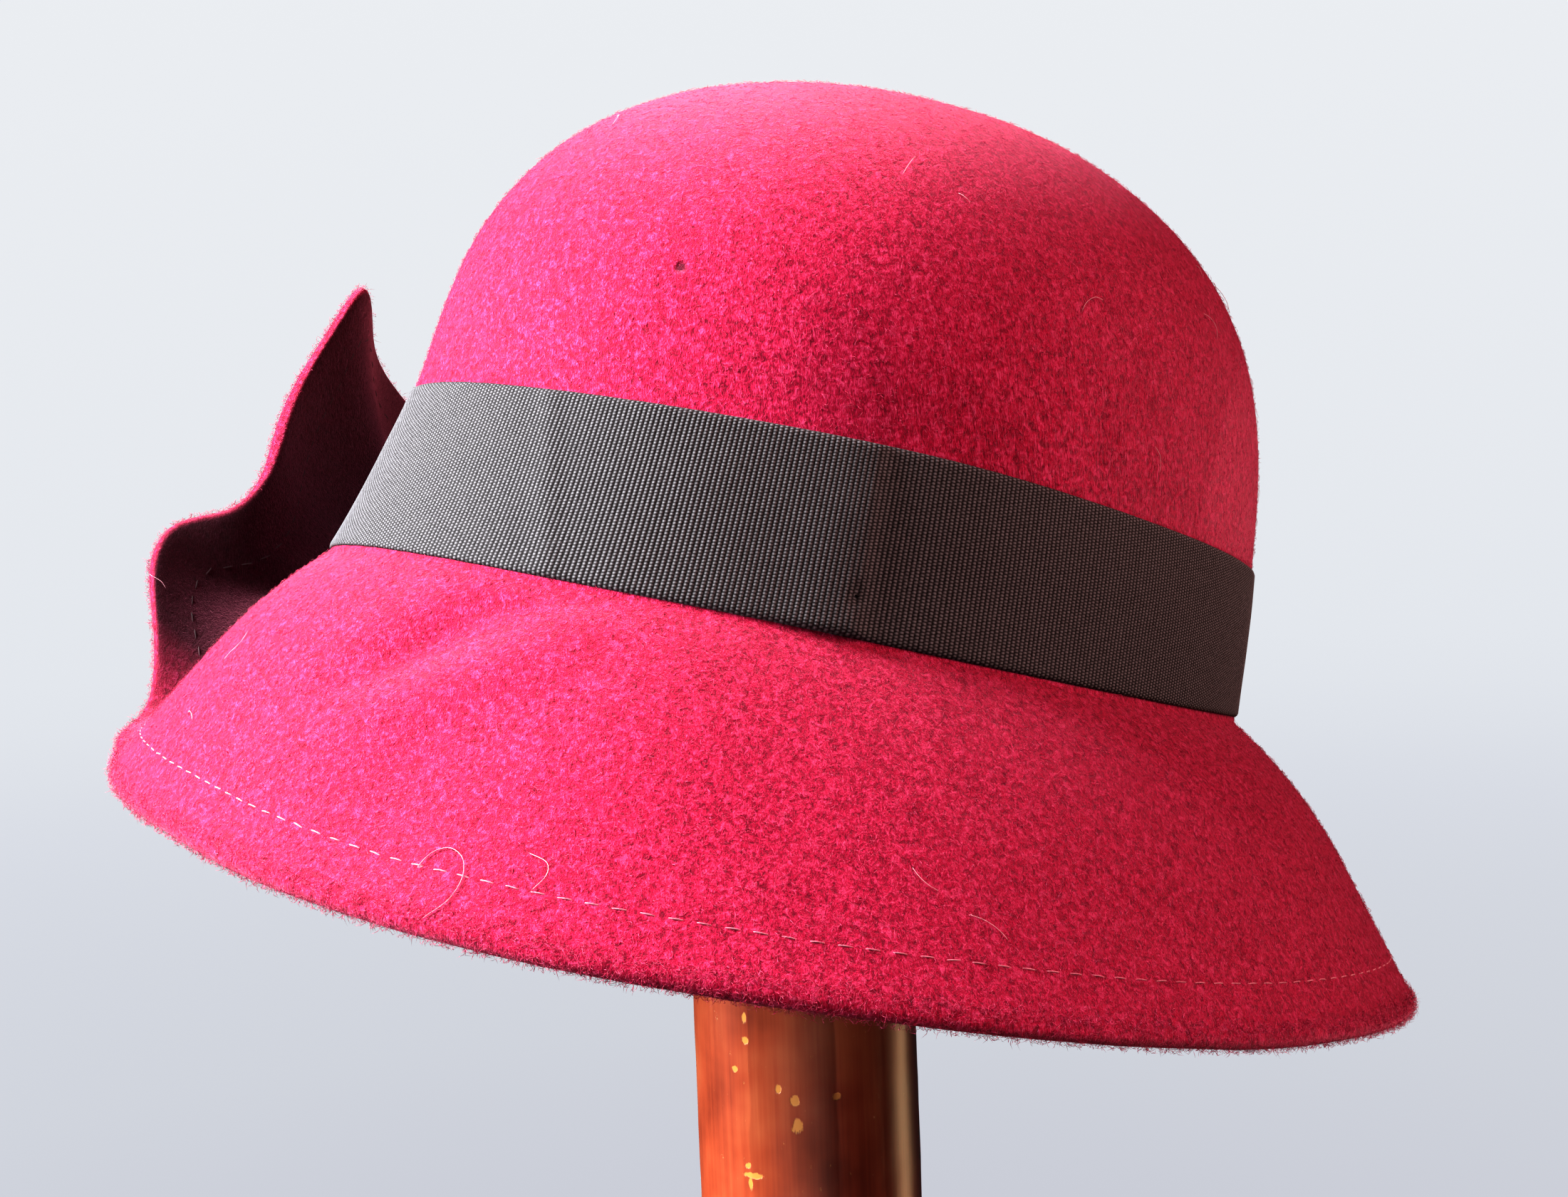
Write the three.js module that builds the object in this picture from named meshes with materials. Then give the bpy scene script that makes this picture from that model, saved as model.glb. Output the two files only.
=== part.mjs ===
// Cloche hat on a wooden stand.
// A one-piece blocked wool-felt hat with a ribbon round the crown, its brim turned
// down all round except on the wearer's right, where it sweeps up in an S to a peak.
// The hat hangs tilted on the domed top of a round wooden post set in a disc base.
// Millimetres, +Z up, the hat's front towards -Y, the wearer's left towards +X.

import * as THREE from 'three';

// ---- driving dimensions -------------------------------------------------------

const FELT_THICKNESS = 2.1;
const HEM_WIDTH = 9.5;
const HEM_THICKNESS = 3.9;
const HEM_STEP = 1.2;
const PIECE_GAP = 0.3;

const RIBBON_THICKNESS = 0.8;

const HAT_LEAN = 14.65;
const HAT_LEAN_TOWARDS = 60.5;
const BRIM_LINE_HEIGHT = 212;
const HAT_SLIDE = [2.3, 2.3];

const POST_RADIUS = 25;
const POST_CROWN_RADIUS = 46;
const POST_SHOULDER = 4;
const BASE_RADIUS = 88;
const BASE_THICKNESS = 22;
const BASE_EDGE_RADIUS = 5;
const BASE_FOOT_CHAMFER = 1.5;
const SOCKET_DEPTH = 12;

const FELT_COLOUR = 0xb0123c;
const FELT_ROUGHNESS = 0.95;
const RIBBON_COLOUR = 0x34302f;
const RIBBON_ROUGHNESS = 0.7;
const WOOD_COLOUR = 0x7a3016;
const WOOD_ROUGHNESS = 0.4;

// ---- crown: one row per level section, from the brim line up to the tip -------
// height above the brim line, half width across, half length front to back,
// and how far the section's centre sits to the left side and towards the back

const CROWN_COLUMNS = ['height', 'halfWidth', 'halfLength', 'toLeft', 'toBack'];
const CROWN = [
  [0, 94.5, 107.4, 0.0, 0.0],
  [8, 92.6, 105.2, 0.9, 0.9],
  [20, 91.0, 103.4, 1.8, 1.8],
  [36, 88.0, 100.0, 2.6, 2.6],
  [54, 86.0, 97.7, 2.4, 2.4],
  [74, 80.9, 91.9, 2.3, 2.3],
  [93, 69.2, 78.7, 2.6, 2.6],
  [108, 49.5, 56.3, 3.2, 3.2],
  [116, 27.0, 30.7, 3.6, 3.6],
  [119.4, 0.0, 0.0, 3.6, 3.6],
];

// ---- brim: one row per station round the hat ----------------------------------
// azimuth of the station at the brim line and at the rim (0 = wearer's left,
// 90 = back), the rim's reach from the hat's axis and height above the brim line,
// how far the brim line dips, and the slope leaving the crown and at the rim
// (0 = straight down, 90 = level, 180 = straight up), and how far back from the rim
// that last slope is held (1 = an even curve)

const DIP_FADE = 6;

const BRIM_COLUMNS = ['root', 'rim', 'reach', 'height', 'dip', 'leave', 'arrive', 'pull'];
const BRIM = [
  [0, 0, 140.8, -51.9, 0, 60, 37, 1],
  [15, 15, 144.0, -49.2, 0, 64, 40, 1],
  [30, 30, 146.0, -48.2, 0, 66, 41, 1],
  [45, 45, 147.5, -49.5, 0, 64, 40, 1],
  [70, 70, 148.0, -50.0, 0, 56, 40, 1],
  [95, 95, 148.0, -50.0, 0, 49, 40, 1],
  [120, 120, 151.0, -46.0, 0, 49, 45, 1],
  [140, 140, 158.0, -32.0, 0, 52, 72, 1],
  [155, 155, 161.0, -9.0, 0, 58, 108, 1],
  [167, 168, 159.0, 16.0, 0, 66, 140, 1.1],
  [177, 178.5, 155.0, 31.0, 0, 74, 156, 1.2],
  [183, 186.5, 151.0, 40.0, 1, 80, 164, 1.3],
  [187, 193.0, 146.5, 50.0, 1.5, 82, 170, 1.4],
  [190, 198.2, 139.5, 64.5, 2, 82, 172, 1.5],
  [193, 202.6, 139.5, 47.5, 2.5, 80, 168, 1.6],
  [197, 207.2, 138.0, 29.5, 3, 74, 164, 1.7],
  [201, 211.8, 133.5, 11.5, 4, 68, 160, 1.7],
  [205.5, 216.0, 136.0, -0.5, 5, 62, 152, 1.7],
  [210, 218.2, 147.0, -6.5, 5.5, 56, 146, 1.6],
  [215, 220.6, 147.5, -17.0, 6, 46, 138, 1.5],
  [220, 222.8, 141.5, -31.0, 6, 34, 124, 1.3],
  [225, 225.5, 137.2, -45.5, 6, 26, 96, 1.1],
  [230, 229.0, 140.5, -52.0, 6, 28, 62, 1],
  [236, 233.5, 138.5, -54.5, 5.6, 32, 40, 1],
  [246, 242.5, 138.0, -56.8, 4.0, 50, 25, 1],
  [256, 254.0, 136.5, -57.8, 2.8, 50, 24, 1],
  [266, 265.0, 136.0, -58.2, 1.8, 46, 27, 1],
  [276, 276.0, 138.2, -58.6, 1.2, 43, 31, 1],
  [282, 282.0, 139.0, -58.6, 1.0, 38, 36, 1],
  [288, 288.0, 139.6, -58.6, 0.8, 34, 41, 1],
  [294, 294.0, 140.4, -58.4, 0.6, 39, 37, 1],
  [302, 302, 141.0, -58.0, 0.3, 46, 33, 1],
  [315, 315, 140.5, -56.5, 0, 46, 35, 1],
  [330, 330, 139.8, -54.9, 0, 50, 36, 1],
  [345, 345, 139.4, -53.6, 0, 55, 36, 1],
];

// ---- ribbon: heights of its two edges above the brim line, round the hat --------

const RIBBON_COLUMNS = ['azimuth', 'lower', 'upper'];
const RIBBON = [
  [0, 0.8, 34.5],
  [40, 1.4, 33.4],
  [80, 0.9, 34.0],
  [140, 0.5, 34.6],
  [240, 0.5, 34.8],
  [270, 0.5, 34.6],
  [300, 0.5, 35.4],
  [325, 0.5, 36.0],
];

// ---- mesh fineness ------------------------------------------------------------

// degrees between stations, away from and along the swept-up stretch of brim
const OPEN_STEP = 4.9;
const SWEEP_STEP = 1.9;
const SWEEP_FROM = 176;
const SWEEP_TO = 234;
// heights of the crown's rings, then parts of the way across brim, hem and ribbon,
// and bearings of the rings that round the rim
const CROWN_RINGS = [118.2, 115, 109.5, 102, 93, 82, 70, 58, 47, 36, 24, 12, 0.5, 0];
const BRIM_STOPS = [0.12, 0.29, 0.45, 0.61, 0.76];
const HEM_STOPS = [0.5, 1];
const RIM_TURNS = [45, 90, 135];
const RIBBON_STOPS = [0, 0.34, 0.67, 1];
const ROUND_SEGMENTS = 64;
const EDGE_SEGMENTS = 5;
const SHOULDER_TURN = 62;
const PROBE_ROUND = 0.02;
const PROBE_ALONG = 0.004;
const TINY = 1e-3;

// ---- small helpers ------------------------------------------------------------

const rad = (degrees) => degrees * Math.PI / 180;
const lerp = (a, b, k) => a + (b - a) * k;

function column(table, names, name) {
  const at = names.indexOf(name);
  return table.map((row) => row[at]);
}

// slope-limited cubic through (keys, values), so no value swings past its rows
function smoothCurve(keys, values) {
  const n = keys.length;
  const slope = [];
  for (let i = 0; i < n - 1; i += 1) {
    slope.push((values[i + 1] - values[i]) / (keys[i + 1] - keys[i]));
  }
  const tangent = [slope[0]];
  for (let i = 1; i < n - 1; i += 1) {
    const before = keys[i] - keys[i - 1];
    const after = keys[i + 1] - keys[i];
    tangent.push((slope[i - 1] * after + slope[i] * before) / (before + after));
  }
  tangent.push(slope[n - 2]);
  return (key) => {
    let i = 0;
    while (i < n - 2 && key > keys[i + 1]) i += 1;
    const width = keys[i + 1] - keys[i];
    const t = (key - keys[i]) / width;
    const h00 = (1 + 2 * t) * (1 - t) * (1 - t);
    const h10 = t * (1 - t) * (1 - t);
    const h01 = t * t * (3 - 2 * t);
    const h11 = t * t * (t - 1);
    const bend = h10 * tangent[i] * width + h11 * tangent[i + 1] * width;
    return h00 * values[i] + h01 * values[i + 1] + bend;
  };
}

// the same curve closed round the hat: rows repeat every full turn
function roundCurve(keys, values, growth) {
  const allKeys = [];
  const allValues = [];
  for (const turn of [-1, 0, 1]) {
    keys.forEach((key, i) => {
      allKeys.push(key + 360 * turn);
      allValues.push(values[i] + growth * turn);
    });
  }
  return smoothCurve(allKeys, allValues);
}

// ---- the hat's upper surface --------------------------------------------------

const crownStation = CROWN.map((row, i) => i);
const crownCurve = {};
for (const name of CROWN_COLUMNS) {
  crownCurve[name] = smoothCurve(crownStation, column(CROWN, CROWN_COLUMNS, name));
}

const brimCurve = {};
for (const name of BRIM_COLUMNS.slice(1)) {
  const growth = name === 'rim' ? 360 : 0;
  const values = column(BRIM, BRIM_COLUMNS, name);
  brimCurve[name] = roundCurve(column(BRIM, BRIM_COLUMNS, 'root'), values, growth);
}

// the level, in rows of the crown table, that lies at a height above the brim line
function levelAt(height) {
  let low = 0;
  let high = CROWN.length - 1;
  for (let k = 0; k < 40; k += 1) {
    const middle = (low + high) / 2;
    if (crownCurve.height(middle) < height) low = middle;
    else high = middle;
  }
  return low;
}

const ribbonCurve = {};
for (const name of RIBBON_COLUMNS.slice(1)) {
  const values = column(RIBBON, RIBBON_COLUMNS, name);
  ribbonCurve[name] = roundCurve(column(RIBBON, RIBBON_COLUMNS, 'azimuth'), values, 0);
}

// a point on the crown: azimuth in degrees, level in rows of the crown table
function crownPoint(azimuth, level) {
  const a = rad(azimuth);
  const width = Math.max(crownCurve.halfWidth(level), TINY);
  const length = Math.max(crownCurve.halfLength(level), TINY);
  const radius = 1 / Math.hypot(Math.cos(a) / width, Math.sin(a) / length);
  const dip = brimCurve.dip(azimuth) * Math.max(0, 1 - level / DIP_FADE);
  return new THREE.Vector3(
    crownCurve.toLeft(level) + radius * Math.cos(a),
    crownCurve.toBack(level) + radius * Math.sin(a),
    crownCurve.height(level) - dip,
  );
}

// a point on the brim: azimuth at the brim line, part of the way out to the rim
function brimPoint(azimuth, out) {
  const root = crownPoint(azimuth, 0);
  const rootReach = Math.hypot(root.x, root.y);
  const run = brimCurve.reach(azimuth) - rootReach;
  const rise = brimCurve.height(azimuth) - root.z;
  const chord = Math.hypot(run, rise);
  const leave = rad(brimCurve.leave(azimuth));
  const arrive = rad(brimCurve.arrive(azimuth));
  const h10 = out * (1 - out) * (1 - out);
  const h01 = out * out * (3 - 2 * out);
  const h11 = out * out * (out - 1) * brimCurve.pull(azimuth);
  const sideways = h10 * Math.sin(leave) + h11 * Math.sin(arrive);
  const upward = -h10 * Math.cos(leave) - h11 * Math.cos(arrive);
  const reach = rootReach + run * h01 + chord * sideways;
  const height = root.z + rise * h01 + chord * upward;
  const turn = rad(lerp(azimuth, brimCurve.rim(azimuth), h01));
  return new THREE.Vector3(reach * Math.cos(turn), reach * Math.sin(turn), height);
}

// the direction out of the upper surface; the crown is laid out upwards from the
// brim line and the brim outwards from it, so the two turn opposite ways
function outwardNormal(surface, azimuth, along) {
  const low = Math.max(along - PROBE_ALONG, 0);
  const round = surface(azimuth + PROBE_ROUND, along).sub(surface(azimuth - PROBE_ROUND, along));
  const across = surface(azimuth, along + PROBE_ALONG).sub(surface(azimuth, low));
  const way = surface === crownPoint ? 1 : -1;
  return round.cross(across).multiplyScalar(way).normalize();
}

// ---- mesh builders ------------------------------------------------------------

function meshFrom(points, faces) {
  const geometry = new THREE.BufferGeometry();
  const flat = points.flatMap((p) => [p.x, p.y, p.z]);
  geometry.setAttribute('position', new THREE.Float32BufferAttribute(flat, 3));
  geometry.setIndex(faces.flat());
  geometry.computeVertexNormals();
  return geometry;
}

function signedVolume(points, faces) {
  let sum = 0;
  for (const [a, b, c] of faces) {
    sum += points[a].dot(points[b].clone().cross(points[c])) / 6;
  }
  return sum;
}

// joins loops of points in order; a loop of one point is a pole, and `closed`
// joins the last loop back to the first
function skin(loops, closed) {
  const points = [];
  const starts = [];
  for (const loop of loops) {
    starts.push(points.length);
    points.push(...loop);
  }
  const faces = [];
  const last = closed ? loops.length : loops.length - 1;
  for (let i = 0; i < last; i += 1) {
    const j = (i + 1) % loops.length;
    const here = loops[i].length;
    const there = loops[j].length;
    const count = Math.max(here, there);
    for (let k = 0; k < count; k += 1) {
      const next = (k + 1) % count;
      const a = starts[i] + (here === 1 ? 0 : k);
      const b = starts[i] + (here === 1 ? 0 : next);
      const c = starts[j] + (there === 1 ? 0 : next);
      const d = starts[j] + (there === 1 ? 0 : k);
      if (a !== b) faces.push([a, b, c]);
      if (c !== d) faces.push([a, c, d]);
    }
  }
  if (signedVolume(points, faces) < 0) {
    faces.forEach((face) => face.reverse());
  }
  return meshFrom(points, faces);
}

// a solid turned about the Z axis from rows of [radius, height]
function turned(profile) {
  const loops = profile.map(([radius, height]) => {
    if (radius < TINY) return [new THREE.Vector3(0, 0, height)];
    const loop = [];
    for (let k = 0; k < ROUND_SEGMENTS; k += 1) {
      const a = 2 * Math.PI * k / ROUND_SEGMENTS;
      loop.push(new THREE.Vector3(radius * Math.cos(a), radius * Math.sin(a), height));
    }
    return loop;
  });
  return skin(loops, false);
}

// rows of a rounded corner, from one bearing to another about a centre
function corner(radius, centreR, centreZ, from, to) {
  const rows = [];
  for (let k = 0; k <= EDGE_SEGMENTS; k += 1) {
    const a = rad(lerp(from, to, k / EDGE_SEGMENTS));
    rows.push([centreR + radius * Math.cos(a), centreZ + radius * Math.sin(a)]);
  }
  return rows;
}

// stations round the hat, closer together where the brim sweeps up
function stations() {
  const list = [];
  const sweep = Math.round((SWEEP_TO - SWEEP_FROM) / SWEEP_STEP);
  const open = Math.round((360 - SWEEP_TO + SWEEP_FROM) / OPEN_STEP);
  for (let k = 0; k < sweep; k += 1) {
    list.push(lerp(SWEEP_FROM, SWEEP_TO, k / sweep));
  }
  for (let k = 0; k < open; k += 1) {
    list.push(lerp(SWEEP_TO, SWEEP_FROM + 360, k / open));
  }
  return list.map((azimuth) => azimuth % 360);
}

// ---- felt: crown and brim in one closed wall ----------------------------------

function feltBody() {
  const around = stations();
  const tip = CROWN.length - 1;
  const outer = [[crownPoint(0, tip)]];
  const inner = [[crownPoint(0, tip).sub(new THREE.Vector3(0, 0, FELT_THICKNESS))]];

  const layer = (surface, along, thickness) => {
    const top = [];
    const under = [];
    for (const azimuth of around) {
      const point = surface(azimuth, along(azimuth));
      const normal = outwardNormal(surface, azimuth, along(azimuth));
      top.push(point);
      under.push(point.clone().addScaledVector(normal, -thickness));
    }
    return [top, under];
  };

  for (const height of CROWN_RINGS) {
    const level = levelAt(height);
    const [top, under] = layer(crownPoint, () => level, FELT_THICKNESS);
    outer.push(top);
    inner.push(under);
  }

  const length = (azimuth) => {
    const root = crownPoint(azimuth, 0);
    return root.distanceTo(brimPoint(azimuth, 1));
  };
  const hemStart = (azimuth) => 1 - HEM_WIDTH / length(azimuth);
  const hemFull = (azimuth) => 1 - (HEM_WIDTH - HEM_STEP) / length(azimuth);

  for (const stop of BRIM_STOPS) {
    const [top, under] = layer(brimPoint, () => stop, FELT_THICKNESS);
    outer.push(top);
    inner.push(under);
  }
  const [stepTop, stepUnder] = layer(brimPoint, hemStart, FELT_THICKNESS);
  outer.push(stepTop);
  inner.push(stepUnder);
  inner.push(layer(brimPoint, hemFull, HEM_THICKNESS)[1]);
  for (const stop of HEM_STOPS) {
    const along = (azimuth) => lerp(hemFull(azimuth), 1, stop);
    const [top, under] = layer(brimPoint, along, HEM_THICKNESS);
    outer.push(top);
    inner.push(under);
  }

  const rim = RIM_TURNS.map((turn) => around.map((azimuth) => {
    const end = brimPoint(azimuth, 1);
    const before = brimPoint(azimuth, 1 - PROBE_ALONG);
    const normal = outwardNormal(brimPoint, azimuth, 1);
    const onward = end.clone().sub(before).normalize();
    const half = HEM_THICKNESS / 2;
    return end
      .addScaledVector(normal, -half + half * Math.cos(rad(turn)))
      .addScaledVector(onward, half * Math.sin(rad(turn)));
  }));

  return skin([...outer, ...rim, ...inner.reverse()], false);
}

// ---- ribbon band: a closed strip lying on the crown ---------------------------

function ribbonBand() {
  const around = stations();
  const loop = (stop, lift) => around.map((azimuth) => {
    const height = lerp(ribbonCurve.lower(azimuth), ribbonCurve.upper(azimuth), stop);
    const level = levelAt(height);
    const normal = outwardNormal(crownPoint, azimuth, level);
    return crownPoint(azimuth, level).addScaledVector(normal, lift);
  });
  const inside = RIBBON_STOPS.map((stop) => loop(stop, PIECE_GAP));
  const outside = RIBBON_STOPS.map((stop) => loop(stop, PIECE_GAP + RIBBON_THICKNESS));
  return skin([...inside, ...outside.reverse()], true);
}

// ---- stand: a round post with a domed top, let into a disc base ----------------

// how far the post's domed top has fallen away at a distance from its axis
function domeDrop(distance) {
  return POST_CROWN_RADIUS - Math.sqrt(POST_CROWN_RADIUS ** 2 - distance ** 2);
}

function standPost(topHeight) {
  const foot = BASE_THICKNESS - SOCKET_DEPTH + PIECE_GAP;
  const shoulder = POST_RADIUS - POST_SHOULDER;
  const shoulderHeight = topHeight - domeDrop(shoulder) - POST_SHOULDER * Math.sin(rad(SHOULDER_TURN));
  const profile = [[0, foot], [POST_RADIUS, foot]];
  profile.push(...corner(POST_SHOULDER, shoulder, shoulderHeight, 0, SHOULDER_TURN));
  for (let k = EDGE_SEGMENTS - 1; k > 0; k -= 1) {
    const radius = shoulder * k / EDGE_SEGMENTS;
    profile.push([radius, topHeight - domeDrop(radius)]);
  }
  profile.push([0, topHeight]);
  return turned(profile);
}

function standBase() {
  const bore = POST_RADIUS + PIECE_GAP;
  const inset = BASE_RADIUS - BASE_EDGE_RADIUS;
  return turned([
    [0, 0],
    [BASE_RADIUS - BASE_FOOT_CHAMFER, 0],
    [BASE_RADIUS, BASE_FOOT_CHAMFER],
    ...corner(BASE_EDGE_RADIUS, inset, BASE_THICKNESS - BASE_EDGE_RADIUS, 0, 90),
    [bore, BASE_THICKNESS],
    [bore, BASE_THICKNESS - SOCKET_DEPTH],
    [0, BASE_THICKNESS - SOCKET_DEPTH],
  ]);
}

// ---- assembly -----------------------------------------------------------------

// hang the hat group: lean it, slide its highest inside point beside the post's
// axis, and report how high a domed top can stand before it meets the felt
function hangHat(hat, felt) {
  const towards = rad(HAT_LEAN_TOWARDS);
  const axis = new THREE.Vector3(-Math.sin(towards), Math.cos(towards), 0);
  hat.setRotationFromAxisAngle(axis, rad(HAT_LEAN));
  const position = felt.getAttribute('position');
  const inside = [];
  for (let i = Math.floor(position.count / 2); i < position.count; i += 1) {
    const point = new THREE.Vector3().fromBufferAttribute(position, i);
    inside.push(point.applyQuaternion(hat.quaternion));
  }
  const highest = inside.reduce((best, p) => (p.z > best.z ? p : best));
  const [besideX, besideY] = HAT_SLIDE;
  hat.position.set(besideX - highest.x, besideY - highest.y, BRIM_LINE_HEIGHT);
  let touch = Infinity;
  for (const p of inside) {
    p.add(hat.position);
    const distance = Math.hypot(p.x, p.y);
    if (distance < POST_RADIUS && p.z > BRIM_LINE_HEIGHT) {
      touch = Math.min(touch, p.z + domeDrop(distance));
    }
  }
  return touch;
}

function named(name, geometry, colour, roughness) {
  const material = new THREE.MeshStandardMaterial({ color: colour, roughness });
  material.name = `${name}_material`;
  const mesh = new THREE.Mesh(geometry, material);
  mesh.name = name;
  return mesh;
}

const felt = feltBody();
const hat = new THREE.Group();
hat.name = 'hat';
hat.add(named('felt_body', felt, FELT_COLOUR, FELT_ROUGHNESS));
hat.add(named('ribbon_band', ribbonBand(), RIBBON_COLOUR, RIBBON_ROUGHNESS));
const feltAbovePost = hangHat(hat, felt);

const stand = new THREE.Group();
stand.name = 'stand';
const post = standPost(feltAbovePost - PIECE_GAP);
stand.add(named('stand_post', post, WOOD_COLOUR, WOOD_ROUGHNESS));
stand.add(named('stand_base', standBase(), WOOD_COLOUR, WOOD_ROUGHNESS));

const part = new THREE.Group();
part.name = 'cloche_hat_on_stand';
part.add(hat, stand);

export default part;
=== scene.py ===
"""Cloche hat on a wooden stand: the finished look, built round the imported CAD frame.

Metres, +Z up. The hat's front faces -Y and the wearer's left is +X. The sections follow
the order in which the thing is put together, from the foot of the stand to the lint.
"""
import math

import bpy
import numpy as np
from mathutils import Matrix, Vector
from mathutils.bvhtree import BVHTree


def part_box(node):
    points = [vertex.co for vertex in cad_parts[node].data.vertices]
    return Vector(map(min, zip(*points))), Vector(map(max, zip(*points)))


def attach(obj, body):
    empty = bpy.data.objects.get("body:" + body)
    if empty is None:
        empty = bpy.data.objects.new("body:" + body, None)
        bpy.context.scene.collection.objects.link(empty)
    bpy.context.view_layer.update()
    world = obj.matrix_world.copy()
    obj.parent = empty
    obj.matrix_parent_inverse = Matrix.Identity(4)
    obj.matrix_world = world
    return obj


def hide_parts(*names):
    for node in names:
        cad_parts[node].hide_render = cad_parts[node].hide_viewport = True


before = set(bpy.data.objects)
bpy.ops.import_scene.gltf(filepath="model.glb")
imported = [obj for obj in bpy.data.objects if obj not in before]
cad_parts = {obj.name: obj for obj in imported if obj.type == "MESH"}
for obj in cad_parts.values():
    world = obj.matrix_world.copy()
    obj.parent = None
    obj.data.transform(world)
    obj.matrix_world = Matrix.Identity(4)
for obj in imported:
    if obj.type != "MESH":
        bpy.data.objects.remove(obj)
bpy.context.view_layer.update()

# ---- Stand base -------------------------------------------------------------------
# A turned beech disc with an eased top edge, a chamfered foot and a shallow cove
# round the socket that takes the post. Stained red-brown, varnished, then handled.

MM = 0.001
BASE_SIDES = 128
EDGE_ROUND = 5 * MM
FOOT_CHAMFER = 1.5 * MM
SOCKET_GAP = 0.3 * MM
LEVEL_SLACK = 0.01 * MM
ROUND_SLACK = 0.1 * MM
COVE_INSET = 13 * MM
COVE_WIDTH = 3 * MM
COVE_DEPTH = 1.2 * MM
STAIN_DARK = "#7E301A"
STAIN_MID = "#A84C2C"
STAIN_WARM = "#BC6840"
BARE_WOOD = "#DEA050"
# beech pores are finer than this: the grain is drawn 0.9 mm apart so that it shows
GRAIN_ACROSS = 0.9 * MM
GRAIN_ALONG = 45 * MM
STAIN_CLOUD = 22 * MM
GRAIN_SHARE = 0.35
SCUFF_SIZE = 1.4 * MM
SCUFF_SQUASH = 0.6
CHIP_RAGGED = 1.9
CHIP_OUTSIDE, CHIP_INSIDE = 1.98, 1.7
SPECK_FROM, SPECK_FULL = 0.66, 0.76
VARNISH_SMOOTH, VARNISH_WORN = 0.24, 0.42
GRAIN_RELIEF = 0.12
CHIP_DEPTH = 0.3 * MM
# azimuth in degrees, then height, width and tallness in mm
BASE_CHIPS = [
    (296, 21.9, 2.2, 1.2), (330, 20.5, 1.4, 1.8), (350, 21.9, 1.6, 1.0), (262, 20.8, 1.8, 1.2),
]


def linear(colour):
    """A hex sRGB colour as the linear RGBA that shaders take."""
    channels = [int(colour[i : i + 2], 16) / 255 for i in (1, 3, 5)]
    return [c / 12.92 if c <= 0.04045 else ((c + 0.055) / 1.055) ** 2.4 for c in channels] + [1]


def add(tree, kind, values=(), links=(), **settings):
    """Adds one shader node, with its settings, socket values and incoming links."""
    node = tree.nodes.new("ShaderNode" + kind)
    for name, value in settings.items():
        setattr(node, name, value)
    for socket, value in dict(values).items():
        node.inputs[socket].default_value = value
    for socket, source in dict(links).items():
        tree.links.new(source, node.inputs[socket])
    return node


def blank_material(name, sockets):
    """A material with one Principled shader whose plain sockets are set."""
    material = bpy.data.materials.new(name)
    material.use_nodes = True
    shader = material.node_tree.nodes["Principled BSDF"]
    for socket, value in sockets.items():
        shader.inputs[socket].default_value = value
    return material, material.node_tree, shader


def ramp(tree, source, stops):
    """A colour ramp from (position, hex) stops, driven by source."""
    node = add(tree, "ValToRGB", links={"Fac": source})
    while len(node.color_ramp.elements) < len(stops):
        node.color_ramp.elements.new(0.5)
    for element, (position, colour) in zip(node.color_ramp.elements, stops):
        element.position = position
        element.color = linear(colour)
    return node.outputs["Color"]


def pick_only(*objects):
    """Selects these objects and nothing else, the last one active."""
    bpy.ops.object.select_all(action="DESELECT")
    for item in objects:
        item.select_set(True)
        bpy.context.view_layer.objects.active = item


def settle(piece):
    """Moves a finished piece's place into its mesh."""
    pick_only(piece)
    bpy.ops.object.transform_apply(location=True, rotation=True, scale=True)


def pick_faces(piece, wanted):
    """In edit mode, selects the faces that wanted(face centre, normal) says."""
    bpy.ops.mesh.select_all(action="DESELECT")
    bpy.ops.object.mode_set(mode="OBJECT")
    for face in piece.data.polygons:
        face.select = bool(wanted(face.center, face.normal))
    bpy.ops.object.mode_set(mode="EDIT")


def pick_edges(piece, wanted):
    """In edit mode, selects the edges whose two ends wanted(end, end) says."""
    bpy.ops.mesh.select_all(action="DESELECT")
    bpy.ops.object.mode_set(mode="OBJECT")
    ends = piece.data.vertices
    for edge in piece.data.edges:
        edge.select = bool(wanted(*(ends[i].co for i in edge.vertices)))
    bpy.ops.object.mode_set(mode="EDIT")
    bpy.ops.mesh.select_mode(type="EDGE")


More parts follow.
